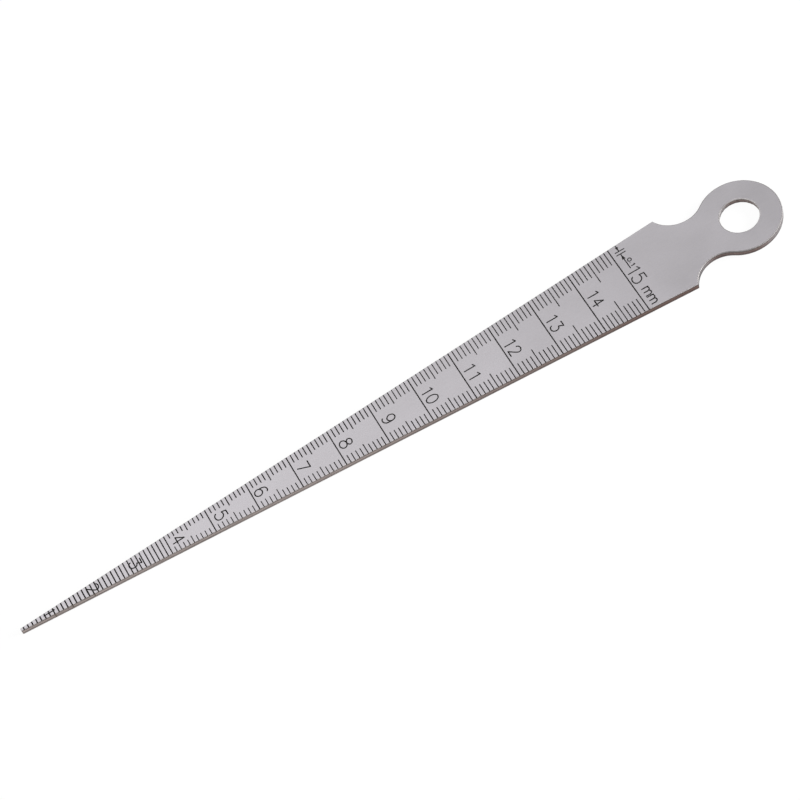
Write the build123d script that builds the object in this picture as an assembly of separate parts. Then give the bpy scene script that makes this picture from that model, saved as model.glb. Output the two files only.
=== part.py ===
from build123d import *
import math
import os

# Gap gauge: one flat strip of hardened stainless steel, ground to a long even
# taper, with a width scale marked across its top face and a hanging ring at
# the wide end.  Lengths in millimetres.  X runs along the strip from the
# narrow tip to the ring, Y across it, Z up out of the marked face.

# ---- driving dimensions ---------------------------------------------------
overall = 150.0          # tip to the far side of the ring
thickness = 1.2          # strip thickness
run_per_mm = 8.3         # length along the strip in which its width grows 1 mm
tip_from_apex = 4.4      # the two edges would meet this far beyond the tip
ring_d = 15.0            # outside diameter of the ring
hole_d = 7.0             # hanging hole
neck_r = 5.4             # radius of the two hollows beside the neck
neck_back = 7.95         # hollow centre to ring centre, along X
corner_r = 0.15          # corners at the tip and shoulders, seen from above
edge_r = 0.08            # rounding of every rim, top and underside
hole_edge_r = 0.08       # rounding of the two rims of the hole

first_mark = 6           # first graduation, in tenths of a millimetre of width
last_mark = 150          # last graduation
full_until = 40          # up to here every graduation crosses the face
mark_depth = 0.03        # depth of all marking
digit_w = 0.235          # stroke width of the numerals
symbol_w = 0.19          # stroke width of the graduation symbol
tick_end_slope = 0.309   # inner end of a short graduation = slope * width - drop
tick_end_drop = 0.24
tick_overrun = 0.08      # every inner end reaches this much further

# width of the graduation lines by number: those that cross the face, and the
# short ones on the +Y side and on the -Y side
width_full = ((6, 0.25), (20, 0.255), (30, 0.23), (40, 0.215), (50, 0.22), (150, 0.225))
width_up = ((40, 0.21), (88, 0.21), (97, 0.185), (115, 0.175), (125, 0.185), (150, 0.19))
width_low = ((40, 0.18), (60, 0.17), (70, 0.175), (78, 0.185), (88, 0.195), (150, 0.19))

# inner ends of the longer half-millimetre graduations, by width
half_end = {4.5: 0.74, 5.5: 0.86, 6.5: 1.17, 7.5: 1.60, 8.5: 1.92, 9.5: 2.23,
            10.5: 2.43, 11.5: 2.46, 12.5: 2.46, 13.5: 2.47, 14.5: 2.47}

# ---- derived --------------------------------------------------------------
ring_r = ring_d / 2
hole_r = hole_d / 2
ring_x = tip_from_apex + overall - ring_r          # from the apex
neck_x = ring_x - neck_back
neck_y = math.sqrt((ring_r + neck_r) ** 2 - neck_back ** 2)
half_slope = 0.5 / run_per_mm                      # half width per mm of length
tip_half = tip_from_apex * half_slope

# the shoulder is where the straight edge runs out into the neck's hollow
_a = 1 + half_slope ** 2
_b = -2 * (neck_x + half_slope * neck_y)
_c = neck_x ** 2 + neck_y ** 2 - neck_r ** 2
shoulder_x = (-_b - math.sqrt(_b * _b - 4 * _a * _c)) / (2 * _a)
shoulder_y = shoulder_x * half_slope

# the hollow meets the ring on the line between their centres
_t = neck_r / (neck_r + ring_r)
join_x = neck_x + _t * neck_back
join_y = neck_y - _t * neck_y

# all of the above is measured from the taper's apex; the part's own origin is
# the middle of its bounding box, on the underside
x0 = -(tip_from_apex + overall / 2)


def at(x, y):
    return (x + x0, y)


# ---- blank ----------------------------------------------------------------
_m = math.atan2(shoulder_y - neck_y, shoulder_x - neck_x)
if _m > 0:
    _m -= 2 * math.pi
_e = math.atan2(join_y - neck_y, join_x - neck_x)
_mid = (_m + _e) / 2
hollow_mid = (neck_x + neck_r * math.cos(_mid), neck_y + neck_r * math.sin(_mid))

outline = [
    Line(at(tip_from_apex, -tip_half), at(tip_from_apex, tip_half)),
    Line(at(tip_from_apex, tip_half), at(shoulder_x, shoulder_y)),
    ThreePointArc(at(shoulder_x, shoulder_y), at(*hollow_mid), at(join_x, join_y)),
    ThreePointArc(at(join_x, join_y), at(ring_x + ring_r, 0), at(join_x, -join_y)),
    ThreePointArc(at(join_x, -join_y), at(hollow_mid[0], -hollow_mid[1]),
                  at(shoulder_x, -shoulder_y)),
    Line(at(shoulder_x, -shoulder_y), at(tip_from_apex, -tip_half)),
]
face = make_face(outline)
corners = [v for v in face.vertices()
           if abs(v.X - (tip_from_apex + x0)) < 1e-3 or abs(v.X - (shoulder_x + x0)) < 1e-3]
face = fillet(corners, corner_r)
blank = extrude(face, amount=thickness)

hole_at = (ring_x + x0, 0)
blank -= Pos(hole_at[0], hole_at[1], thickness / 2) * Cylinder(hole_r, thickness * 2)


def is_bore(e):
    c = e.center()
    return e.geom_type == GeomType.CIRCLE and abs(e.radius - hole_r) < 1e-3


rims = [e for e in blank.edges()
        if abs(e.center().Z - thickness) < 1e-4 or abs(e.center().Z) < 1e-4]
blank = fillet([e for e in rims if not is_bore(e)], edge_r)
rims = [e for e in blank.edges() if is_bore(e)]
blank = fillet(rims, hole_edge_r)


# ---- marking --------------------------------------------------------------
# Each mark is a thin face just above the marked depth, drawn with single
# strokes of an even width.

def bar(p, q, w):
    """straight stroke from p to q, its ends squared off half a width beyond"""
    dx, dy = q[0] - p[0], q[1] - p[1]
    n = math.hypot(dx, dy)
    ux, uy = dx / n * w / 2, dy / n * w / 2
    a = (p[0] - ux, p[1] - uy)
    b = (q[0] + ux, q[1] + uy)
    return make_face(Polyline((a[0] - uy, a[1] + ux), (b[0] - uy, b[1] + ux),
                              (b[0] + uy, b[1] - ux), (a[0] + uy, a[1] - ux), close=True))


def curve(points, w):
    """curved stroke along a smooth line through the points"""
    line = Spline(*points)
    n = max(6, 2 * len(points))
    left, right = [], []
    for i in range(n + 1):
        p = line.position_at(i / n)
        t = line.tangent_at(i / n)
        left.append((p.X - t.Y * w / 2, p.Y + t.X * w / 2))
        right.append((p.X + t.Y * w / 2, p.Y - t.X * w / 2))
    return make_face([Spline(*left), Line(left[-1], right[-1]),
                      Spline(*reversed(right)), Line(right[0], left[0])])


def ring(cx, cy, rx, ry, w):
    """closed oval stroke"""
    outer = Pos(cx, cy) * Ellipse(rx + w / 2, ry + w / 2)
    return outer - Pos(cx, cy) * Ellipse(rx - w / 2, ry - w / 2)


def wedge(p, q, r):
    return make_face(Polyline(p, q, r, close=True))


# Numerals are drawn upright in (u, v), u to the right and v up, 2.2 mm tall.
DIGITS = {
    "0": [("ring", 0.72, 1.10, 0.72, 1.10)],
    "1": [("bar", (0.55, 0.0), (0.55, 2.1)), ("bar", (0.55, 2.1), (0.05, 1.83))],
    "2": [("curve", (0.0, 1.72), (0.18, 2.04), (0.60, 2.18), (1.02, 2.08),
           (1.22, 1.78), (1.20, 1.45), (0.98, 1.08), (0.52, 0.52), (0.10, 0.04)),
          ("bar", (0.06, 0.0), (1.25, 0.0))],
    "3": [("bar", (0.10, 2.27), (1.13, 2.27)), ("bar", (1.13, 2.27), (0.70, 1.45)),
          ("curve", (0.70, 1.45), (1.02, 1.35), (1.26, 1.08), (1.33, 0.72),
           (1.22, 0.33), (0.92, 0.05), (0.52, 0.0), (0.20, 0.12), (0.0, 0.42))],
    "4": [("bar", (0.85, 2.05), (0.06, 0.70)), ("bar", (0.06, 0.70), (1.35, 0.72)),
          ("bar", (0.87, 2.05), (0.95, 0.0))],
    "5": [("bar", (0.24, 2.22), (1.18, 2.25)), ("bar", (0.24, 2.22), (0.15, 1.45)),
          ("curve", (0.15, 1.42), (0.48, 1.53), (0.82, 1.51), (1.15, 1.32),
           (1.38, 0.95), (1.41, 0.55), (1.22, 0.18), (0.85, 0.0), (0.47, 0.0),
           (0.18, 0.12), (0.0, 0.36))],
    "6": [("curve", (1.18, 2.17), (0.95, 2.31), (0.62, 2.31), (0.30, 2.12),
           (0.14, 1.80), (0.06, 1.40), (0.03, 0.95)),
          ("ring", 0.69, 0.70, 0.68, 0.70)],
    "7": [("bar", (0.0, 2.13), (1.36, 2.13)), ("curve", (1.33, 2.10), (1.02, 1.30),
                                               (0.76, 0.62), (0.52, 0.0))],
    "8": [("ring", 0.77, 0.65, 0.77, 0.65), ("ring", 0.79, 1.83, 0.60, 0.48)],
    "9": [("ring", 0.64, 1.60, 0.64, 0.72),
          ("curve", (1.28, 1.60), (1.30, 1.05), (1.22, 0.52), (0.95, 0.16),
           (0.60, 0.02), (0.28, 0.04), (0.03, 0.22))],
    "m": [("bar", (0.0, 0.0), (0.0, 1.2)), ("curve", (0.0, 0.98), (0.22, 1.17),
                                             (0.55, 1.19), (0.78, 0.98), (0.84, 0.7)),
          ("bar", (0.85, 0.85), (0.85, 0.0)),
          ("curve", (0.85, 0.98), (1.07, 1.17), (1.38, 1.19), (1.61, 0.98), (1.67, 0.7)),
          ("bar", (1.68, 0.85), (1.68, 0.0))],
}

# character, distance of its foot from the apex, Y of its left side, size
LAYOUT = [
    ("1", 9.0, 0.60, 0.95),
    ("2", 17.38, 0.58, 0.98),
    ("3", 25.65, 0.66, 0.98),
    ("4", 34.10, 0.60, 1.04),
    ("5", 42.45, 0.55, 1.0),
    ("6", 50.30, 0.65, 1.0),
    ("7", 58.80, 0.70, 1.0),
    ("8", 67.02, 0.65, 1.0),
    ("9", 75.48, 0.46, 1.0),
    ("1", 83.75, 1.15, 0.96), ("0", 83.72, -0.38, 1.0),
    ("1", 92.00, 0.95, 1.0), ("1", 92.00, -1.02, 1.0),
    ("1", 100.20, 1.22, 1.0), ("2", 100.20, -0.42, 1.0),
    ("1", 108.60, 1.25, 1.0), ("3", 108.50, -0.40, 1.0),
    ("1", 116.93, 1.34, 0.97), ("4", 116.85, -0.24, 1.02),
    ("1", 125.08, 1.50, 1.09), ("5", 124.98, -0.05, 1.11),
    ("m", 125.42, -3.18, 1.0), ("m", 125.42, -5.15, 1.0),
]


def character(name, foot_x, left_y, s, w):
    """the strokes of one character, turned to read along the strip's width"""
    def p(u, v):
        return at(foot_x + v * s, left_y - u * s)
    out = []
    for stroke in DIGITS[name]:
        kind = stroke[0]
        if kind == "bar":
            out.append(bar(p(*stroke[1]), p(*stroke[2]), w))
        elif kind == "curve":
            out.append(curve([p(*q) for q in stroke[1:]], w))
        else:
            _, cu, cv, ru, rv = stroke
            c = p(cu, cv)
            out.append(ring(c[0], c[1], rv * s, ru * s, w))
    return out


def scale_shift(width):
    """the scale lies this far below the middle line, most near 9.5 mm"""
    return 0.2 * max(0.0, 1 - ((width - 9.5) / 5.5) ** 2)


def line_width(n, table):
    for (n0, w0), (n1, w1) in zip(table, table[1:]):
        if n <= n1:
            return w0 + (w1 - w0) * (n - n0) / (n1 - n0)
    return table[-1][1]


def short_line(x, y_out, y_in, w):
    """from beyond the edge to y_in, the two inner corners cut off"""
    r = w * 0.28
    k = math.copysign(r, y_out - y_in)
    return make_face(Polyline(at(x - w / 2, y_out), at(x - w / 2, y_in + k),
                              at(x - w / 2 + r, y_in), at(x + w / 2 - r, y_in),
                              at(x + w / 2, y_in + k), at(x + w / 2, y_out), close=True))


faces = []
for n in range(first_mark, last_mark + 1):
    width = n / 10
    x = n * run_per_mm / 10
    y_out = x * half_slope + 0.2
    if n <= full_until or n % 10 == 0:
        faces.append(bar(at(x, -y_out), at(x, y_out), line_width(n, width_full)))
        continue
    inner = half_end[width] if n % 10 == 5 else tick_end_slope * width - tick_end_drop
    inner -= tick_overrun
    faces.append(short_line(x, y_out, inner - scale_shift(width), line_width(n, width_up)))
    faces.append(short_line(x, -y_out, -inner - scale_shift(width), line_width(n, width_low)))

for name, fx, ly, s in LAYOUT:
    faces += character(name, fx, ly, s, digit_w)

# the graduation symbol: two lines with an arrow to each, and its value
faces += [
    bar(at(125.35, 6.10), at(127.08, 6.10), 0.2),
    bar(at(125.30, 5.47), at(127.03, 5.47), 0.2),
    bar(at(126.08, 7.42), at(126.08, 6.20), symbol_w),
    wedge(at(126.08, 6.25), at(125.80, 7.05), at(126.36, 7.05)),
    bar(at(126.05, 5.30), at(126.05, 1.90), symbol_w),
    wedge(at(126.05, 5.40), at(125.74, 4.15), at(126.36, 4.15)),
    ring(at(126.75, 3.50)[0], 3.50, 0.33, 0.33, symbol_w),
    bar(at(126.50, 2.86), at(126.51, 2.84), symbol_w),
    bar(at(126.42, 2.15), at(127.10, 2.15), symbol_w),
    bar(at(127.10, 2.15), at(126.98, 2.36), symbol_w),
]

floor_z = thickness - mark_depth
cutters = [Pos(0, 0, floor_z) * extrude(f, amount=mark_depth * 3, dir=(0, 0, 1)) for f in faces]
gauge = blank - cutters

solids = gauge.solids()
gauge_blade = max(solids, key=lambda s: s.volume)

os.makedirs("parts", exist_ok=True)
export_step(gauge_blade, "parts/gauge_blade.step")
print("shoulder", round(shoulder_x, 3), round(shoulder_y, 3),
      "neck half", round(neck_y - neck_r, 3), "solids", len(solids),
      "faces", len(gauge_blade.faces()), "volume", round(gauge_blade.volume, 1),
      "box", gauge_blade.bounding_box())
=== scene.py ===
import math

import bpy
import numpy as np
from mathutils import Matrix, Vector
from mathutils.geometry import delaunay_2d_cdt


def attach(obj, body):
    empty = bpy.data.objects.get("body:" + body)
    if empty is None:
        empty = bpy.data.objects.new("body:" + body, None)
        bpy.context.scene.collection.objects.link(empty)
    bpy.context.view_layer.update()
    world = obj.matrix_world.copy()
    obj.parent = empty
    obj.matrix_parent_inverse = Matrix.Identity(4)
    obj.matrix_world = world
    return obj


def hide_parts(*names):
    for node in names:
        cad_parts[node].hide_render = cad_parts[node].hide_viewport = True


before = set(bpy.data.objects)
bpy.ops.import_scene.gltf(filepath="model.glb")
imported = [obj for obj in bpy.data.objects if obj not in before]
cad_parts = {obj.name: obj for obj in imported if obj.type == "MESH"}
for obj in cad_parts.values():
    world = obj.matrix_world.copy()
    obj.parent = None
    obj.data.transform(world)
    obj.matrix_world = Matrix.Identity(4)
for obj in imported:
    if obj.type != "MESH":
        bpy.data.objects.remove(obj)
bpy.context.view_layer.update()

# ---------------------------------------------------------------------------
# Sizes, in millimetres, the same as the construction's.  X is measured from
# the point where the two edges of the taper would meet, and moved by X0.
# ---------------------------------------------------------------------------
OVERALL = 150.0
THICK = 1.2
RUN = 8.3                 # length in which the width grows 1 mm
TIP = 4.4
RING_R = 7.5
HOLE_R = 3.5
NECK_R = 5.4
NECK_BACK = 7.95
CORNER_R = 0.15
EDGE_R = 0.08             # upper rim of the ground edges
ROLL_R = 0.16             # upper rim of the ring, the hollows and the hole
BACK_R = 0.03             # rim of the underside
MARK_DEPTH = 0.03
MARK_TOP = 0.006          # the burnt floor lies this far below the face
DIGIT_W = 0.235
SYMBOL_W = 0.19
FULL_UNTIL = 40           # up to here every graduation crosses the face
# width of the graduations by number: those that cross the face, and the short
# ones on the +Y side and on the -Y side
WIDTH_FULL = ((6, 0.25), (20, 0.255), (30, 0.23), (40, 0.215), (50, 0.22), (150, 0.225))
WIDTH_UP = ((40, 0.21), (88, 0.21), (97, 0.185), (115, 0.175), (125, 0.185), (150, 0.19))
WIDTH_LOW = ((40, 0.18), (60, 0.17), (70, 0.175), (78, 0.185), (88, 0.195), (150, 0.19))

RING_X = TIP + OVERALL - RING_R
NECK_X = RING_X - NECK_BACK
NECK_Y = math.sqrt((RING_R + NECK_R) ** 2 - NECK_BACK ** 2)
M = 0.5 / RUN             # slope of each edge
LEN = math.hypot(1, M)
X0 = -(TIP + OVERALL / 2)
MM = 0.001

HALF_END = {45: 0.74, 55: 0.86, 65: 1.17, 75: 1.60, 85: 1.92, 95: 2.23,
            105: 2.43, 115: 2.46, 125: 2.46, 135: 2.47, 145: 2.47}


# ---------------------------------------------------------------------------
# Outline
# ---------------------------------------------------------------------------
def width_of(n, side):
    table = WIDTH_UP if side > 0 else WIDTH_LOW
    if n <= FULL_UNTIL or n % 10 == 0:
        table = WIDTH_FULL
    return float(np.interp(n, [t[0] for t in table], [t[1] for t in table]))


def tick_edges(side):
    """the X of both sides of every graduation"""
    out = []
    for n in range(6, 151):
        x = n * RUN / 10
        w = width_of(n, side)
        out += [x - w / 2, x + w / 2]
    return out


def chain(side):
    """points and outward normals from the middle of the tip's end, along the
    edge with Y above 0, to the far side of the ring"""
    pts, nor, kind = [], [], []

    def add(p, n, k):
        pts.append((p[0], p[1]))
        nor.append((n[0], n[1]))
        kind.append(k)

    # the tip's end and its corner
    cx = TIP + CORNER_R
    cy = M * cx - CORNER_R * LEN
    add((TIP, 0.0), (-1, 0), 0)
    for i in range(7):
        a = math.pi + (math.atan2(1, -M) - math.pi) * i / 6
        add((cx + CORNER_R * math.cos(a), cy + CORNER_R * math.sin(a)),
            (math.cos(a), math.sin(a)), 0)

    # shoulder corner: its centre is CORNER_R inside the edge and outside the hollow
    bx = CORNER_R * M / LEN
    by = -CORNER_R / LEN
    qa = 1 + M * M
    qb = 2 * ((bx - NECK_X) + M * (by - NECK_Y))
    qc = (bx - NECK_X) ** 2 + (by - NECK_Y) ** 2 - (NECK_R + CORNER_R) ** 2
    sx = (-qb - math.sqrt(qb * qb - 4 * qa * qc)) / (2 * qa)
    c = (sx + bx, M * sx + by)

    # straight edge, with a point at each side of every graduation
    n = (-M / LEN, 1 / LEN)
    shift = EDGE_R * M / LEN
    xs = [x - shift for x in tick_edges(side)]
    start = cx + CORNER_R * n[0]
    xs = [x for x in xs if start + 0.02 < x < sx - 0.02]
    grid = np.arange(math.ceil(start), sx, 1.0)
    last = max(xs)
    xs += [g for g in grid if g > last + 0.3 and g < sx - 0.3]
    for x in sorted(xs):
        add((x, M * x), n, 1)
    a0 = math.atan2(1, -M)
    d = (NECK_X - c[0], NECK_Y - c[1])
    a1 = math.atan2(d[1], d[0])
    for i in range(7):
        a = a0 + (a1 - a0) * i / 6
        add((c[0] + CORNER_R * math.cos(a), c[1] + CORNER_R * math.sin(a)),
            (math.cos(a), math.sin(a)), 1 if i == 0 else 2)

    # hollow beside the neck
    b0 = math.atan2(c[1] - NECK_Y, c[0] - NECK_X)
    b1 = math.atan2(-NECK_Y, RING_X - NECK_X)
    for i in range(1, 57):
        a = b0 + (b1 - b0) * i / 56
        add((NECK_X + NECK_R * math.cos(a), NECK_Y + NECK_R * math.sin(a)),
            (-math.cos(a), -math.sin(a)), 2)

    # ring
    g0 = math.atan2(NECK_Y, NECK_X - RING_X)
    for i in range(1, 97):
        a = g0 * (1 - i / 96)
        add((RING_X + RING_R * math.cos(a), RING_R * math.sin(a)),
            (math.cos(a), math.sin(a)), 2)
    return pts, nor, kind


def outline():
    """closed, anticlockwise"""
    pts, nor, kind = chain(1)
    low, low_n, low_k = chain(-1)
    low = [(p[0], -p[1]) for p in low]
    low_n = [(n[0], -n[1]) for n in low_n]
    # lower side from tip to ring, then the upper side back
    loop = low + pts[::-1][1:-1]
    normals = low_n + nor[::-1][1:-1]
    kinds = low_k + kind[::-1][1:-1]
    return (np.array(loop, float), np.array(normals, float), np.array(kinds))


def hole_loop(count=144):
    """closed, clockwise, so that the steel is on its left"""
    a = -np.arange(count) * 2 * math.pi / count
    p = np.c_[RING_X + HOLE_R * np.cos(a), HOLE_R * np.sin(a)]
    return p, -np.c_[np.cos(a), np.sin(a)]


# ---------------------------------------------------------------------------
# Marking
# ---------------------------------------------------------------------------
DIGITS = {
    "0": [("ring", 0.72, 1.10, 0.72, 1.10)],
    "1": [("bar", (0.55, 0.0), (0.55, 2.1)), ("bar", (0.55, 2.1), (0.05, 1.83))],
    "2": [("curve", (0.0, 1.72), (0.18, 2.04), (0.60, 2.18), (1.02, 2.08),
           (1.22, 1.78), (1.20, 1.45), (0.98, 1.08), (0.52, 0.52), (0.10, 0.04)),
          ("bar", (0.06, 0.0), (1.25, 0.0))],
    "3": [("bar", (0.10, 2.27), (1.13, 2.27)), ("bar", (1.13, 2.27), (0.70, 1.45)),
          ("curve", (0.70, 1.45), (1.02, 1.35), (1.26, 1.08), (1.33, 0.72),
           (1.22, 0.33), (0.92, 0.05), (0.52, 0.0), (0.20, 0.12), (0.0, 0.42))],
    "4": [("bar", (0.85, 2.05), (0.06, 0.70)), ("bar", (0.06, 0.70), (1.35, 0.72)),
          ("bar", (0.87, 2.05), (0.95, 0.0))],
    "5": [("bar", (0.24, 2.22), (1.18, 2.25)), ("bar", (0.24, 2.22), (0.15, 1.45)),
          ("curve", (0.15, 1.42), (0.48, 1.53), (0.82, 1.51), (1.15, 1.32),
           (1.38, 0.95), (1.41, 0.55), (1.22, 0.18), (0.85, 0.0), (0.47, 0.0),
           (0.18, 0.12), (0.0, 0.36))],
    "6": [("curve", (1.18, 2.17), (0.95, 2.31), (0.62, 2.31), (0.30, 2.12),
           (0.14, 1.80), (0.06, 1.40), (0.03, 0.95)),
          ("ring", 0.69, 0.70, 0.68, 0.70)],
    "7": [("bar", (0.0, 2.13), (1.36, 2.13)),
          ("curve", (1.33, 2.10), (1.02, 1.30), (0.76, 0.62), (0.52, 0.0))],
    "8": [("ring", 0.77, 0.65, 0.77, 0.65), ("ring", 0.79, 1.83, 0.60, 0.48)],
    "9": [("ring", 0.64, 1.60, 0.64, 0.72),
          ("curve", (1.28, 1.60), (1.30, 1.05), (1.22, 0.52), (0.95, 0.16),
           (0.60, 0.02), (0.28, 0.04), (0.03, 0.22))],
    "m": [("bar", (0.0, 0.0), (0.0, 1.2)),
          ("curve", (0.0, 0.98), (0.22, 1.17), (0.55, 1.19), (0.78, 0.98), (0.84, 0.7)),
          ("bar", (0.85, 0.85), (0.85, 0.0)),
          ("curve", (0.85, 0.98), (1.07, 1.17), (1.38, 1.19), (1.61, 0.98), (1.67, 0.7)),
          ("bar", (1.68, 0.85), (1.68, 0.0))],
}

# character, distance of its foot from the apex, Y of its left side, size
LAYOUT = [
    ("1", 9.0, 0.60, 0.95),
    ("2", 17.38, 0.58, 0.98),
    ("3", 25.65, 0.66, 0.98),
    ("4", 34.10, 0.60, 1.04),
    ("5", 42.45, 0.55, 1.0),
    ("6", 50.30, 0.65, 1.0),
    ("7", 58.80, 0.70, 1.0),
    ("8", 67.02, 0.65, 1.0),
    ("9", 75.48, 0.46, 1.0),
    ("1", 83.75, 1.15, 0.96), ("0", 83.72, -0.38, 1.0),
    ("1", 92.00, 0.95, 1.0), ("1", 92.00, -1.02, 1.0),
    ("1", 100.20, 1.22, 1.0), ("2", 100.20, -0.42, 1.0),
    ("1", 108.60, 1.25, 1.0), ("3", 108.50, -0.40, 1.0),
    ("1", 116.93, 1.34, 0.97), ("4", 116.85, -0.24, 1.02),
    ("1", 125.08, 1.50, 1.09), ("5", 124.98, -0.05, 1.11),
    ("m", 125.42, -3.18, 1.0), ("m", 125.42, -5.15, 1.0),
]


def spline(points, per=7):
    """smooth line through the points, with its tangents"""
    P = np.array(points, float)
    P = np.vstack([2 * P[0] - P[1], P, 2 * P[-1] - P[-2]])
    out, tan = [], []
    for i in range(1, len(P) - 2):
        p0, p1, p2, p3 = P[i - 1:i + 3]
        last = i == len(P) - 3
        for k in range(per + (1 if last else 0)):
            t = k / per
            out.append(0.5 * (2 * p1 + (p2 - p0) * t + (2 * p0 - 5 * p1 + 4 * p2 - p3) * t * t
                              + (3 * p1 - p0 - 3 * p2 + p3) * t ** 3))
            tan.append(0.5 * ((p2 - p0) + 2 * (2 * p0 - 5 * p1 + 4 * p2 - p3) * t
                              + 3 * (3 * p1 - p0 - 3 * p2 + p3) * t * t))
    tan = np.array(tan)
    tan /= np.linalg.norm(tan, axis=1)[:, None]
    return np.array(out), tan


def stroke(points, w, curved):
    """outline of a stroke with rounded ends"""
    if curved:
        p, t = spline(points)
    else:
        p = np.array(points, float)
        d = p[1] - p[0]
        t = np.repeat((d / np.linalg.norm(d))[None], 2, 0)
    n = np.c_[-t[:, 1], t[:, 0]] * w / 2
    left, right = p + n, p - n
    ends = []
    for c, dirn in ((p[-1], t[-1]), (p[0], -t[0])):
        a = math.atan2(dirn[1], dirn[0])
        ends.append([c + w / 2 * np.array((math.cos(a + s), math.sin(a + s)))
                     for s in (math.pi / 4, 0, -math.pi / 4)])
    return np.vstack([left, ends[0], right[::-1], ends[1]])


def oval(cx, cy, rx, ry, w, count=56):
    a = np.arange(count) * 2 * math.pi / count
    return (np.c_[cx + (rx + w / 2) * np.cos(a), cy + (ry + w / 2) * np.sin(a)],
            np.c_[cx + (rx - w / 2) * np.cos(a), cy + (ry - w / 2) * np.sin(a)])


def scale_shift(n):
    return 0.2 * max(0.0, 1 - ((n / 10 - 9.5) / 5.5) ** 2)


def edge_y(x):
    """the top face's own boundary, inside the rounded rim"""
    return M * x - EDGE_R * LEN


def marking():
    """every mark as (outline, hole or None, kind)"""
    out = []
    for n in range(6, 151):
        x = n * RUN / 10
        w, v = width_of(n, 1), width_of(n, -1)
        a, b = x - w / 2, x + w / 2
        c, d = x - v / 2, x + v / 2
        if n <= FULL_UNTIL or n % 10 == 0:
            out.append((np.array([(c, -edge_y(c)), (d, -edge_y(d)),
                                  (b, edge_y(b)), (a, edge_y(a))]), None, n))
            continue
        inner = HALF_END[n] if n % 10 == 5 else 0.309 * n / 10 - 0.24
        up = inner - scale_shift(n) - 0.08
        lo = -inner - scale_shift(n) + 0.08
        r = w * 0.28
        out.append((np.array([(a, up + r), (a + r, up), (b - r, up), (b, up + r),
                              (b, edge_y(b)), (a, edge_y(a))]), None, n))
        r = v * 0.28
        out.append((np.array([(c, -edge_y(c)), (d, -edge_y(d)),
                              (d, lo - r), (d - r, lo), (c + r, lo), (c, lo - r)]), None, n))
    for name, fx, ly, s in LAYOUT:
        def p(q):
            return (fx + q[1] * s, ly - q[0] * s)
        for item in DIGITS[name]:
            if item[0] == "ring":
                _, cu, cv, ru, rv = item
                c = p((cu, cv))
                o, i = oval(c[0], c[1], rv * s, ru * s, DIGIT_W)
                out.append((o, i, 0))
            else:
                o = stroke([p(q) for q in item[1:]], DIGIT_W, item[0] == "curve")
                edge = edge_y(o[:, 0]) - 0.012      # the figures stay on the face
                o[:, 1] = np.clip(o[:, 1], -edge, edge)
                out.append((o, None, 0))
    sy = SYMBOL_W
    out += [
        (stroke([(125.35, 6.10), (127.08, 6.10)], 0.2, False), None, 0),
        (stroke([(125.30, 5.47), (127.03, 5.47)], 0.2, False), None, 0),
        (stroke([(126.08, 7.42), (126.08, 6.20)], sy, False), None, 0),
        (np.array([(126.08, 6.25), (126.36, 7.05), (125.80, 7.05)]), None, 0),
        (stroke([(126.05, 5.30), (126.05, 1.90)], sy, False), None, 0),
        (np.array([(126.05, 5.40), (125.74, 4.15), (126.36, 4.15)]), None, 0),
        (*oval(126.75, 3.50, 0.33, 0.33, sy, 40), 0),
        (stroke([(126.50, 2.86), (126.51, 2.84)], sy, False), None, 0),
        (stroke([(126.42, 2.15), (127.10, 2.15)], sy, False), None, 0),
        (stroke([(127.10, 2.15), (126.98, 2.36)], sy, False), None, 0),
    ]
    return out


def inside(poly, pts):
    """which points lie inside the closed polygon"""
    hit = np.zeros(len(pts), bool)
    order = np.argsort(pts[:, 0])
    xs = pts[order, 0]
    ys = pts[order, 1]
    flag = np.zeros(len(pts), bool)
    nxt = np.roll(poly, -1, axis=0)
    for (xa, ya), (xb, yb) in zip(poly, nxt):
        if xa == xb:
            continue
        lo, hi = np.searchsorted(xs, (min(xa, xb), max(xa, xb)), side="left")
        if lo == hi:
            continue
        line = ya + (yb - ya) * (xs[lo:hi] - xa) / (xb - xa)
        flag[lo:hi] ^= ys[lo:hi] < line
    hit[order] = flag
    return hit


# ---------------------------------------------------------------------------
# Body mesh
# ---------------------------------------------------------------------------
class Builder:
    def __init__(self):
        self.v, self.f, self.slot, self.smooth = [], [], [], []

    def vert(self, x, y, z):
        self.v.append(((x + X0) * MM, y * MM, z * MM))
        return len(self.v) - 1

    def face(self, idx, slot, smooth):
        self.f.append(tuple(idx))
        self.slot.append(slot)
        self.smooth.append(smooth)

    def object(self, name, materials):
        me = bpy.data.meshes.new(name)
        me.from_pydata(self.v, [], self.f)
        me.polygons.foreach_set("material_index", self.slot)
        me.polygons.foreach_set("use_smooth", self.smooth)
        for m in materials:
            me.materials.append(m)
        me.validate()
        me.update()
        ob = bpy.data.objects.new(name, me)
        bpy.context.scene.collection.objects.link(ob)
        return ob


STEEL, RIM, GROUND, BLANKED, BURNT, SCORCHED, ROLLED, HOLE_RIM = range(8)

loop, normals, kinds = outline()
hole, hole_n = hole_loop()
marks = marking()


def wobble(seed, count, scale, step):
    """a smooth closed run of small offsets, the same each time"""
    rng = np.random.RandomState(seed)
    a = np.arange(count)
    out = np.zeros(count)
    for k in range(3, step):
        out += rng.normal() * np.cos(2 * math.pi * k * a / count + rng.uniform(0, 6.28)) / math.sqrt(k)
    return out * scale / max(1e-9, np.abs(out).max())


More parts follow.
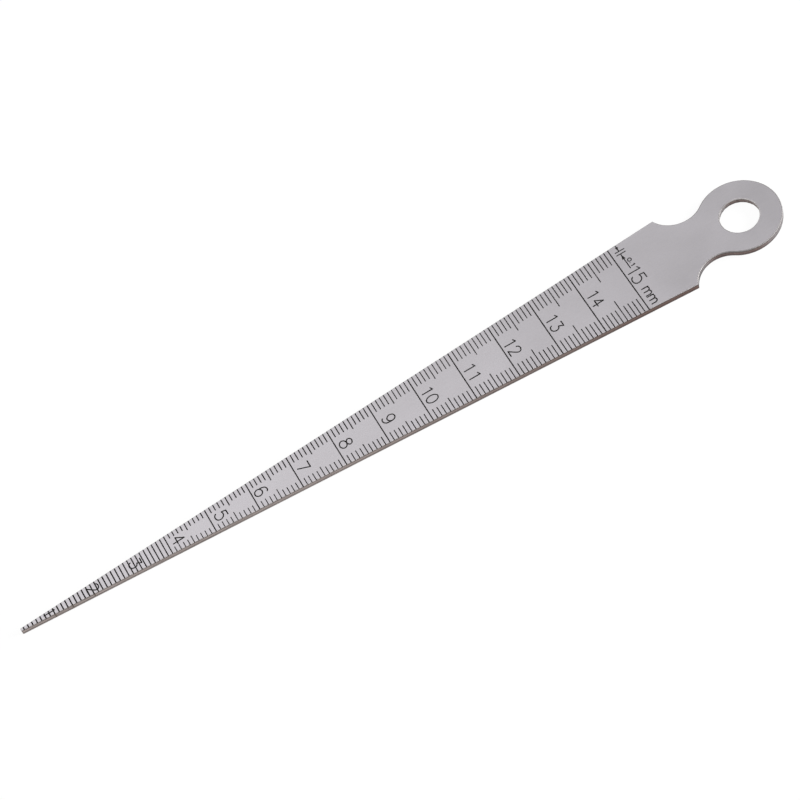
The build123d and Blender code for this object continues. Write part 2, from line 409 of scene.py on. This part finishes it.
def plate(res, walls):
    """the triangles of the steel itself, all turned the same way: those that
    can't be reached from outside, or from the hole's centre, without crossing
    one of the first so many given edges"""
    pts = np.array([(v[0], v[1]) for v in res[0]])
    faces = [tuple(f) for f in res[2] if len(f) == 3]
    wall = {frozenset(e) for e, src in zip(res[1], res[4]) if any(i < walls for i in src)}
    touch = {}
    for k, f in enumerate(faces):
        for e in range(3):
            touch.setdefault(frozenset((f[e], f[(e + 1) % 3])), []).append(k)
    cen = pts[np.array(faces)].mean(1)
    todo = [ks[0] for e, ks in touch.items() if len(ks) == 1 and e not in wall]
    todo.append(int(np.hypot(cen[:, 0] - RING_X, cen[:, 1]).argmin()))
    gone = set(todo)
    while todo:
        f = faces[todo.pop()]
        for e in range(3):
            key = frozenset((f[e], f[(e + 1) % 3]))
            if key in wall:
                continue
            for k in touch[key]:
                if k not in gone:
                    gone.add(k)
                    todo.append(k)
    tris = np.array([f for k, f in enumerate(faces) if k not in gone])
    a = pts[tris]
    turn = ((a[:, 1, 0] - a[:, 0, 0]) * (a[:, 2, 1] - a[:, 0, 1])
            - (a[:, 2, 0] - a[:, 0, 0]) * (a[:, 1, 1] - a[:, 0, 1])).sum()
    return pts, tris if turn > 0 else tris[:, ::-1]


def build_body(materials):
    b = Builder()
    # the rim is sharper on the ground edges than on the punched ones
    corner = loop[(kinds == 2)][:, 0].min()
    away = np.clip((np.hypot(loop[:, 0] - corner, np.abs(loop[:, 1]) - M * corner) - 0.25) / 1.2, 0, 1)
    er = np.where(kinds == 2, EDGE_R + (ROLL_R - EDGE_R) * away * away * (3 - 2 * away), EDGE_R)
    inset = loop - normals * er[:, None]
    rim = hole - hole_n * ROLL_R
    coords = [tuple(p) for p in inset] + [tuple(p) for p in rim]
    n1, n2 = len(inset), len(rim)
    edges = [(i, (i + 1) % n1) for i in range(n1)]
    edges += [(n1 + i, n1 + (i + 1) % n2) for i in range(n2)]
    for o, i, _ in marks:
        for poly in (o, i):
            if poly is None:
                continue
            s = len(coords)
            coords += [tuple(p) for p in poly]
            edges += [(s + k, s + (k + 1) % len(poly)) for k in range(len(poly))]
    res = delaunay_2d_cdt([Vector(c) for c in coords], edges, [], 0, 2e-4, True)
    verts, tris = plate(res, n1 + n2)
    cen = verts[tris].mean(1)
    low = np.zeros(len(tris), bool)
    for o, i, _ in marks:
        x0, y0 = o.min(0)
        x1, y1 = o.max(0)
        near = np.where((cen[:, 0] > x0) & (cen[:, 0] < x1) & (cen[:, 1] > y0) & (cen[:, 1] < y1))[0]
        if not len(near):
            continue
        hit = inside(o, cen[near])
        if i is not None:
            hit &= ~inside(i, cen[near])
        low[near[hit]] = True

    # where each loop point went
    def find(pts):
        out = []
        for p in pts:
            d = np.abs(verts[:, 0] - p[0]) + np.abs(verts[:, 1] - p[1])
            out.append(int(d.argmin()))
        return out
    loop_id, rim_id = find(inset), find(rim)

    top, floor = {}, {}

    def at_top(i):
        if i not in top:
            top[i] = b.vert(verts[i][0], verts[i][1], THICK)
        return top[i]

    def at_floor(i):
        if i not in floor:
            floor[i] = b.vert(verts[i][0], verts[i][1], THICK - MARK_DEPTH)
        return floor[i]

    owner = {}
    for k, t in enumerate(tris):
        for e in range(3):
            owner[(int(t[e]), int(t[(e + 1) % 3]))] = k
    cut_walls = []
    for k, t in enumerate(tris):
        t = [int(i) for i in t]
        if low[k]:
            b.face([at_floor(i) for i in t], BURNT, False)
            for e in range(3):
                p, q = t[e], t[(e + 1) % 3]
                other = owner.get((q, p))
                if other is None or not low[other]:
                    b.face([at_floor(q), at_floor(p), at_top(p), at_top(q)], STEEL, False)
                    cut_walls.append((p, q))
        else:
            b.face([at_top(i) for i in t], STEEL, False)

    # rims and side walls
    def shell(pts, nrm, ids, kind, er, wall_shift, low_shift, rolled):
        count = len(pts)
        steps = 6
        rows = [[at_top(i) for i in ids]]
        for j in range(1, steps + 1):
            th = math.pi / 2 * j / steps
            q = pts - nrm * (er * (1 - math.sin(th)))[:, None]
            z = THICK - er * (1 - math.cos(th))
            rows.append([b.vert(q[i][0], q[i][1], z[i]) for i in range(count)])
        for lv, sh in zip((0.2, 0.4, 0.6, 0.8), wall_shift):
            z = THICK - er - (THICK - er - BACK_R) * lv
            q = pts - nrm * sh[:, None]
            rows.append([b.vert(q[i][0], q[i][1], z[i]) for i in range(count)])
        for j in (2, 1, 0):
            th = math.pi / 2 * j / 2
            q = pts - nrm * (low_shift + BACK_R * (1 - math.sin(th)))[:, None]
            z = BACK_R * (1 - math.cos(th))
            rows.append([b.vert(q[i][0], q[i][1], z) for i in range(count)])
        for r in range(len(rows) - 1):
            for i in range(count):
                n = (i + 1) % count
                slot = kind[i]
                if r < steps:
                    slot = RIM if kind[i] == GROUND else rolled
                if (ids[i], ids[n]) in burnt_edges:
                    x = (pts[i][0] + pts[n][0]) / 2
                    tick = round(x * 10 / RUN)
                    near = pts[i][1] < 0
                    if r < steps:
                        slot = BURNT
                    elif near and (tick in (13, 17) or tick == 22 and r < steps + 3
                                   or tick == 16 and r < steps + 2):
                        slot = SCORCHED
                b.face([rows[r][n], rows[r][i], rows[r + 1][i], rows[r + 1][n]], slot, True)
        return rows[-1]

    burnt_edges = {(p, q) for p, q in cut_walls}
    kind = [GROUND if kinds[i] < 2 and kinds[(i + 1) % len(kinds)] < 2 else BLANKED
            for i in range(len(loop))]
    count = len(loop)
    zero = np.zeros(count)
    rough = np.where(kinds == 2, 1.0, 0.0)
    sh = [zero, rough * (0.004 + wobble(3, count, 0.004, 160)),
          rough * (0.010 + wobble(4, count, 0.007, 200)),
          rough * (0.014 + wobble(5, count, 0.008, 220))]
    base = shell(loop, normals, loop_id, kind, er, sh, rough * (0.014 + wobble(6, count, 0.012, 220)), ROLLED)
    # the hole opens a little towards the underside, where the punch broke through
    count = len(hole)
    taper = 0.1 + wobble(9, count, 0.028, 40)
    sh = [np.zeros(count), taper * 0.25 + wobble(7, count, 0.004, 50),
          taper * 0.62 + wobble(8, count, 0.008, 60), taper * 0.9]
    base_hole = shell(hole, hole_n, rim_id, [BLANKED] * count, np.full(count, ROLL_R), sh, taper, HOLE_RIM)

    # underside
    coords = [tuple(p) for p in inset] + [tuple(p) for p in rim]
    edges = [(i, (i + 1) % n1) for i in range(n1)]
    edges += [(n1 + i, n1 + (i + 1) % n2) for i in range(n2)]
    res = delaunay_2d_cdt([Vector(c) for c in coords], edges, [], 0, 2e-5, True)
    ids = base + base_hole
    where = [ids[orig[0]] for orig in res[3]]
    for t in plate(res, n1 + n2)[1]:
        b.face([where[i] for i in t[::-1]], STEEL, False)
    body = b.object("gauge_strip", materials)
    return body, verts, tris, low


def build_marks(verts, tris, low, material):
    """the burnt layer in the cut marks: a thin closed fill, just below the face"""
    b = Builder()
    zt, zb = THICK - MARK_TOP, THICK - MARK_DEPTH + 0.002
    up, down = {}, {}

    def at(store, i, z):
        if i not in store:
            store[i] = b.vert(verts[i][0], verts[i][1], z)
        return store[i]

    own = {}
    for k in np.where(low)[0]:
        t = tris[k]
        for e in range(3):
            own[(int(t[e]), int(t[(e + 1) % 3]))] = k
    for k in np.where(low)[0]:
        t = [int(i) for i in tris[k]]
        b.face([at(up, i, zt) for i in t], 0, False)
        b.face([at(down, i, zb) for i in t[::-1]], 0, False)
        for e in range(3):
            p, q = t[e], t[(e + 1) % 3]
            if (q, p) not in own:
                b.face([at(up, q, zt), at(up, p, zt), at(down, p, zb), at(down, q, zb)], 0, False)
    return b.object("scale_marks", [material])


# ---------------------------------------------------------------------------
# Materials
# ---------------------------------------------------------------------------
class Nodes:
    def __init__(self, name):
        self.m = bpy.data.materials.new(name)
        self.m.use_nodes = True
        self.t = self.m.node_tree
        self.t.nodes.clear()
        self.out = self.t.nodes.new("ShaderNodeOutputMaterial")
        self.p = self.t.nodes.new("ShaderNodeBsdfPrincipled")
        self.t.links.new(self.p.outputs[0], self.out.inputs[0])
        self.tc = self.t.nodes.new("ShaderNodeTexCoord")

    def link(self, a, b):
        self.t.links.new(a, b)

    def mapping(self, scale, rotation=(0, 0, 0), location=(0, 0, 0)):
        n = self.t.nodes.new("ShaderNodeMapping")
        n.inputs["Scale"].default_value = scale
        n.inputs["Rotation"].default_value = rotation
        n.inputs["Location"].default_value = location
        self.link(self.tc.outputs["Object"], n.inputs["Vector"])
        return n.outputs["Vector"]

    def noise(self, vec, scale, detail=3.0, rough=0.5, distortion=0.0):
        n = self.t.nodes.new("ShaderNodeTexNoise")
        n.inputs["Scale"].default_value = scale
        n.inputs["Detail"].default_value = detail
        n.inputs["Roughness"].default_value = rough
        n.inputs["Distortion"].default_value = distortion
        self.link(vec, n.inputs["Vector"])
        return n.outputs["Fac"]

    def ramp(self, fac, stops, interp="LINEAR"):
        n = self.t.nodes.new("ShaderNodeValToRGB")
        n.color_ramp.interpolation = interp
        e = n.color_ramp.elements
        while len(e) > 1:
            e.remove(e[-1])
        for i, (pos, col) in enumerate(stops):
            if i == 0:
                e[0].position = pos
                s = e[0]
            else:
                s = e.new(pos)
            c = col if isinstance(col, (tuple, list)) else (col, col, col)
            s.color = (*c, 1.0)
        self.link(fac, n.inputs["Fac"])
        return n.outputs["Color"]

    def map(self, value, a, b, c, d):
        n = self.t.nodes.new("ShaderNodeMapRange")
        n.inputs["From Min"].default_value = a
        n.inputs["From Max"].default_value = b
        n.inputs["To Min"].default_value = c
        n.inputs["To Max"].default_value = d
        self.link(value, n.inputs["Value"])
        return n.outputs["Result"]

    def mix(self, fac, a, b, mode="MIX"):
        n = self.t.nodes.new("ShaderNodeMix")
        n.data_type = "RGBA"
        n.blend_type = mode
        for sock, val in ((n.inputs[0], fac), (n.inputs[6], a), (n.inputs[7], b)):
            if hasattr(val, "is_linked"):
                self.link(val, sock)
            elif isinstance(val, (tuple, list)):
                sock.default_value = (*val, 1.0)
            else:
                sock.default_value = val
        return n.outputs[2]

    def math(self, op, a, b):
        n = self.t.nodes.new("ShaderNodeMath")
        n.operation = op
        for sock, val in ((n.inputs[0], a), (n.inputs[1], b)):
            if hasattr(val, "is_linked"):
                self.link(val, sock)
            else:
                sock.default_value = val
        return n.outputs[0]

    def axes(self):
        n = self.t.nodes.new("ShaderNodeSeparateXYZ")
        self.link(self.tc.outputs["Object"], n.inputs[0])
        return n.outputs

    def bump(self, height, strength, distance):
        n = self.t.nodes.new("ShaderNodeBump")
        n.inputs["Strength"].default_value = strength
        n.inputs["Distance"].default_value = distance
        self.link(height, n.inputs["Height"])
        self.link(n.outputs["Normal"], self.p.inputs["Normal"])

    def set(self, **kw):
        for k, v in kw.items():
            s = self.p.inputs[k.replace("_", " ")]
            if hasattr(v, "is_linked"):
                self.link(v, s)
            elif isinstance(v, tuple):
                s.default_value = (*v, 1.0)
            else:
                s.default_value = v


def steel():
    n = Nodes("satin_steel")
    fine = n.noise(n.mapping((1, 1, 1)), 9000, 2.0, 0.6)
    # the finish is rubbed on lengthwise: fine streaks along the strip
    streak = n.noise(n.mapping((420, 9000, 9000)), 1.0, 3.0, 0.55)
    broad = n.noise(n.mapping((1, 1, 1)), 90, 3.0, 0.5)
    tone = n.ramp(n.math("ADD", n.math("MULTIPLY", broad, 0.6), n.math("MULTIPLY", streak, 0.4)),
                  [(0.30, (0.580, 0.558, 0.584)), (0.70, (0.646, 0.621, 0.652))])
    tone = n.mix(n.map(fine, 0.35, 0.65, 0.0, 0.20), tone, (0.44, 0.42, 0.445))
    # grain of about a third of a millimetre
    grain = n.noise(n.mapping((1, 1, 1)), 3200, 2.0, 0.6)
    tone = n.mix(n.map(grain, 0.40, 0.70, 0.0, 0.12), tone, (0.46, 0.435, 0.455))
    n.set(Base_Color=tone, Metallic=1.0)
    n.set(Roughness=n.map(n.math("ADD", n.math("MULTIPLY", fine, 0.5), n.math("MULTIPLY", broad, 0.5)),
                          0.3, 0.7, 0.36, 0.46))
    n.bump(n.math("ADD", n.math("MULTIPLY", fine, 0.6), n.math("MULTIPLY", streak, 0.4)), 0.25, 0.000006)
    return n.m


def edge(name, tip_col, ring_col, dark, vertical):
    n = Nodes(name)
    ax = n.axes()
    # the tone goes from tip_col to ring_col along the strip; where these differ it is partly the wall's own
    # colour and partly painted light
    along = n.map(ax[0], (60 + X0) * MM, (128 + X0) * MM, 0.0, 1.0)
    base = n.mix(along, tip_col, ring_col)
    if vertical:
        # painted light: greyer and lighter where the wall faces +X and -Y; its tones were fitted,
        # and this is painted light and not the steel's own colour
        d = n.t.nodes.new("ShaderNodeVectorMath")
        d.operation = "DOT_PRODUCT"
        d.inputs[1].default_value = (0.85, -0.53, 0.0)
        n.link(n.tc.outputs["Normal"], d.inputs[0])
        side = n.map(d.outputs["Value"], -1.0, 1.0, 0.0, 1.0)
        base = n.mix(n.map(side, 0.72, 0.92, 0.0, 0.95), base, (0.192, 0.176, 0.182))
        s = n.noise(n.mapping((3600, 3600, 500)), 1.0, 4.0, 0.6, 0.3)
    else:
        s = n.noise(n.mapping((260, 260, 5200)), 1.0, 4.0, 0.6, 0.2)
    base = n.mix(n.map(s, 0.35, 0.72, 0.0, 0.5), base, dark)
    # dark lines below the rim, in the lower part and along the underside
    z = n.map(ax[2], 0.0, THICK * MM, 0.0, 1.0)
    band = n.ramp(z, [(0.0, 0.44), (0.083, 0.65), (0.167, 0.70), (0.25, 0.52), (0.333, 0.45),
                      (0.417, 0.78), (0.5, 1.0), (0.6, 1.0), (0.667, 0.87), (0.75, 0.62),
                      (0.833, 0.48), (0.917, 0.44), (1.0, 0.42)])
    base = n.mix(1.0, base, band, "MULTIPLY")
    if vertical:
        # painted light and shade: the wall's tone is scaled by the way it faces
        base = n.mix(1.0, base, n.ramp(side, [(0.15, 0.94), (0.5, 0.82), (0.62, 0.76), (0.75, 0.84),
                                              (0.88, 0.98), (1.0, 0.88)]), "MULTIPLY")
        # painted shade: darker in the corners of the hollows beside the shoulders, fitted in the same way
        base = n.mix(1.0, base, n.ramp(n.map(ax[0], (134.0 + X0) * MM, (137.5 + X0) * MM, 0.0, 1.0),
                                       [(0.0, 0.40), (0.35, 0.45), (0.85, 1.0)], "EASE"), "MULTIPLY")
    n.set(Base_Color=base, Metallic=0.4, Roughness=n.map(s, 0.3, 0.7, 0.42, 0.6))
    n.bump(s, 0.5, 0.00001)
    return n.m


def rim_steel(name, low, high, x0, x1):
    """rim of the face, duller than the face; its tone goes from low at x0 to high at x1,
    which paints light and shade along the rim"""
    n = Nodes(name)
    s = n.noise(n.mapping((1, 1, 1)), 2600, 3.0, 0.6)
    side = n.map(n.axes()[0], (x0 + X0) * MM, (x1 + X0) * MM, 0.0, 1.0)
    col = n.mix(side, low, high)
    col = n.mix(n.map(s, 0.3, 0.7, 0.0, 0.25), col, (0.16, 0.15, 0.15))
    n.set(Base_Color=col, Metallic=0.8, Roughness=n.map(s, 0.3, 0.7, 0.66, 0.78))
    n.bump(s, 0.3, 0.000004)
    return n.m


def scorched():
    n = Nodes("scorched_edge")
    s = n.noise(n.mapping((1, 1, 1)), 5200, 3.0, 0.6)
    col = n.ramp(s, [(0.3, (0.060, 0.046, 0.038)), (0.75, (0.14, 0.108, 0.09))])
    n.set(Base_Color=col, Metallic=0.2, Roughness=n.map(s, 0.3, 0.7, 0.75, 0.9))
    n.bump(s, 0.4, 0.00001)
    return n.m


def burnt():
    n = Nodes("burnt_mark")
    s = n.noise(n.mapping((1, 1, 1)), 7000, 3.0, 0.6)
    col = n.ramp(s, [(0.3, (0.004, 0.004, 0.004)), (0.75, (0.020, 0.018, 0.017))])
    n.set(Base_Color=col, Metallic=0.0, Roughness=n.map(s, 0.3, 0.7, 0.88, 1.0))
    n.p.inputs["Specular IOR Level"].default_value = 0.12
    n.bump(s, 0.5, 0.00001)
    return n.m


mat_steel = steel()
# painted light: the rim of the ground edges is lighter towards the tip
mat_rim = rim_steel("rim_steel", (0.47, 0.452, 0.456), (0.34, 0.325, 0.33), 60, 130)
# painted shade: the rolled rim darkens from the ring's middle to its outer end
mat_rolled = rim_steel("rolled_rim", (0.25, 0.238, 0.238), (0.17, 0.162, 0.162), RING_X + 0, RING_X + 7)
# painted shade and painted highlight: the hole's rim is dark at its -X side and bright at its +X side
mat_hole_rim = rim_steel("hole_rim", (0.19, 0.18, 0.18), (0.58, 0.56, 0.56), RING_X - 1.2, RING_X + 2.6)
# ground edges: a brown wall, lighter towards the tip; the brown is the wall's own colour, and the change along
# the strip is partly its own colour and partly painted light
mat_ground = edge("ground_edge", (0.318, 0.267, 0.251), (0.119, 0.064, 0.051), (0.072, 0.050, 0.043), False)
mat_blanked = edge("blanked_edge", (0.205, 0.134, 0.120), (0.205, 0.134, 0.120), (0.052, 0.036, 0.033), True)
mat_burnt = burnt()
mat_scorched = scorched()

body, verts, tris, low = build_body([mat_steel, mat_rim, mat_ground, mat_blanked, mat_burnt, mat_scorched,
                                      mat_rolled, mat_hole_rim])
ink = build_marks(verts, tris, low, mat_burnt)
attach(body, "root")
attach(ink, "root")
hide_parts("gauge_blade")

# ---------------------------------------------------------------------------
# Floor, light and camera
# ---------------------------------------------------------------------------
me = bpy.data.meshes.new("floor")
me.from_pydata([(-3, -3, -0.00001), (3, -3, -0.00001), (3, 3, -0.00001), (-3, 3, -0.00001)], [], [(0, 1, 2, 3)])
floor = bpy.data.objects.new("floor", me)
bpy.context.scene.collection.objects.link(floor)
fm = Nodes("floor_white")
fm.set(Base_Color=(0.05, 0.05, 0.05), Roughness=1.0)
fm.p.inputs["Specular IOR Level"].default_value = 0.0
fm.p.inputs["Emission Color"].default_value = (1.0, 1.0, 1.0, 1.0)
fm.p.inputs["Emission Strength"].default_value = 0.94
me.materials.append(fm.m)

# A plain bright sky.  High up it falls off smoothly towards +X, and is far
# dimmer at the -Y side; low down it is even, and a little dimmer towards +X and -Y.
world = bpy.data.worlds.new("studio")
bpy.context.scene.world = world
world.use_nodes = True
wt = world.node_tree
wt.nodes.clear()


def sky_ramp(value, lo, hi, interp="EASE"):
    r = wt.nodes.new("ShaderNodeValToRGB")
    r.color_ramp.interpolation = interp
    for e, (pos, v) in zip(r.color_ramp.elements, (lo, hi)):
        e.position, e.color = pos, (v, v, v, 1)
    wt.links.new(value, r.inputs["Fac"])
    return r.outputs["Color"]


def along(direction):
    """how far the looked-at part of the sky lies in a direction, from 0 to 1"""
    d = wt.nodes.new("ShaderNodeVectorMath")
    d.operation = "DOT_PRODUCT"
    d.inputs[1].default_value = direction
    wt.links.new(tc.outputs["Generated"], d.inputs[0])
    r = wt.nodes.new("ShaderNodeMapRange")
    r.inputs["From Min"].default_value = -1.0
    r.inputs["From Max"].default_value = 1.0
    wt.links.new(d.outputs["Value"], r.inputs["Value"])
    return r.outputs["Result"]


tc = wt.nodes.new("ShaderNodeTexCoord")
high = sky_ramp(along((1, 0, 0)), (0.51, 1.0), (0.64, 0.03))
dim = wt.nodes.new("ShaderNodeMix")
dim.data_type = "RGBA"
dim.blend_type = "MULTIPLY"
dim.inputs[0].default_value = 1.0
wt.links.new(high, dim.inputs[6])
wt.links.new(sky_ramp(along((0, 1, 0)), (0.30, 0.2), (0.60, 1.0)), dim.inputs[7])
high = dim.outputs[2]
low = sky_ramp(along((0.707, -0.707, 0)), (0.55, 0.55), (0.95, 0.30))
blend = wt.nodes.new("ShaderNodeMix")
blend.data_type = "RGBA"
wt.links.new(sky_ramp(along((0, 0, 1)), (0.70, 0.0), (0.82, 1.0)), blend.inputs[0])
wt.links.new(low, blend.inputs[6])
wt.links.new(high, blend.inputs[7])
bg = wt.nodes.new("ShaderNodeBackground")
bg.inputs["Strength"].default_value = 1.3
wt.links.new(blend.outputs[2], bg.inputs["Color"])
wo = wt.nodes.new("ShaderNodeOutputWorld")
wt.links.new(bg.outputs[0], wo.inputs[0])


def area(name, loc, target, size, power):
    la = bpy.data.lights.new(name, "AREA")
    la.shape = "RECTANGLE"
    la.size, la.size_y = size
    la.energy = power
    ob = bpy.data.objects.new(name, la)
    ob.location = loc
    d = Vector(target) - Vector(loc)
    ob.rotation_euler = d.to_track_quat("-Z", "Y").to_euler()
    bpy.context.scene.collection.objects.link(ob)
    return ob


area("front_softbox", (-0.05, -0.75, 0.95), (0, 0, 0), (1.4, 0.5), 6.0)
area("side_softbox", (1.05, -0.22, 0.30), (0.05, 0, 0), (0.7, 0.4), 36.0)

cam_data = bpy.data.cameras.new("camera")
cam = bpy.data.objects.new("camera", cam_data)
bpy.context.scene.collection.objects.link(cam)
cam.location = (-0.0420502, -0.3262706, 0.4845171)
cam.rotation_euler = (math.radians(32.069332), math.radians(13.195582), math.radians(-27.425218))
cam_data.lens = 153.409
cam_data.sensor_width = 36.0
cam_data.clip_start = 0.01
cam_data.clip_end = 20.0
bpy.context.scene.camera = cam
bpy.context.scene.view_settings.view_transform = "Standard"
bpy.context.scene.view_settings.look = "None"
